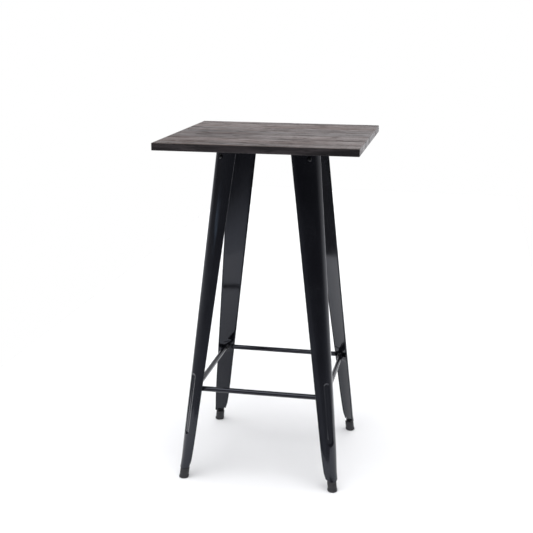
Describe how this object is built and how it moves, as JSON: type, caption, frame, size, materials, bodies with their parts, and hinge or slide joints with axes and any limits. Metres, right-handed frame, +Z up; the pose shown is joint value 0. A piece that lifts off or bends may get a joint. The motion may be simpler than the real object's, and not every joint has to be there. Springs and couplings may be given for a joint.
{
  "type": "bar table",
  "caption": "Square bar-height table: dark boarded wood top on splayed, curved sheet-steel legs joined low down by tube footrests, on rubber feet.",
  "frame": {"origin": "on the floor, under the centre of the square top", "axes": "+Z up; +X and +Y along the sides of the square top, with the boards running along X; the front faces -Y"},
  "size_m": [0.6, 0.6, 1.07],
  "materials": {
    "wood": "dark oiled, brushed grain, satin",
    "gloss_black_steel": "gloss powder coat",
    "black_steel": "satin powder coat",
    "rubber": "moulded, matt",
    "black_fastener": "black oxide, semi-gloss",
    "zinc_fastener": "zinc plated"
  },
  "bodies": {
    "root": {"top_board_1": "wood", "top_board_2": "wood", "top_board_3": "wood", "top_board_4": "wood", "top_board_5": "wood", "top_board_6": "wood", "top_board_7": "wood", "front_left_leg_shell": "gloss_black_steel", "front_left_leg_inner_panel": "gloss_black_steel", "front_left_foot": "rubber", "front_left_corner_bracket": "black_steel", "front_left_leg_bolt": "black_fastener", "front_left_leg_nut": "zinc_fastener", "front_left_stretcher_bolt": "black_fastener", "front_left_stretcher_nut": "zinc_fastener", "front_right_leg_shell": "gloss_black_steel", "front_right_leg_inner_panel": "gloss_black_steel", "front_right_foot": "rubber", "front_right_corner_bracket": "black_steel", "front_right_leg_bolt": "black_fastener", "front_right_leg_nut": "zinc_fastener", "front_right_stretcher_bolt": "black_fastener", "front_right_stretcher_nut": "zinc_fastener", "back_right_leg_shell": "gloss_black_steel", "back_right_leg_inner_panel": "gloss_black_steel", "back_right_foot": "rubber", "back_right_corner_bracket": "black_steel", "back_right_leg_bolt": "black_fastener", "back_right_leg_nut": "zinc_fastener", "back_right_stretcher_bolt": "black_fastener", "back_right_stretcher_nut": "zinc_fastener", "back_left_leg_shell": "gloss_black_steel", "back_left_leg_inner_panel": "gloss_black_steel", "back_left_foot": "rubber", "back_left_corner_bracket": "black_steel", "back_left_leg_bolt": "black_fastener", "back_left_leg_nut": "zinc_fastener", "back_left_stretcher_bolt": "black_fastener", "back_left_stretcher_nut": "zinc_fastener", "front_rail": "black_steel", "front_stretcher": "gloss_black_steel", "front_rail_screw_a": "zinc_fastener", "front_rail_screw_b": "zinc_fastener", "right_rail": "black_steel", "right_stretcher": "gloss_black_steel", "right_rail_screw_a": "zinc_fastener", "right_rail_screw_b": "zinc_fastener", "back_rail": "black_steel", "back_stretcher": "gloss_black_steel", "back_rail_screw_a": "zinc_fastener", "back_rail_screw_b": "zinc_fastener", "left_rail": "black_steel", "left_stretcher": "gloss_black_steel", "left_rail_screw_a": "zinc_fastener", "left_rail_screw_b": "zinc_fastener"}
  },
  "joints": []
}
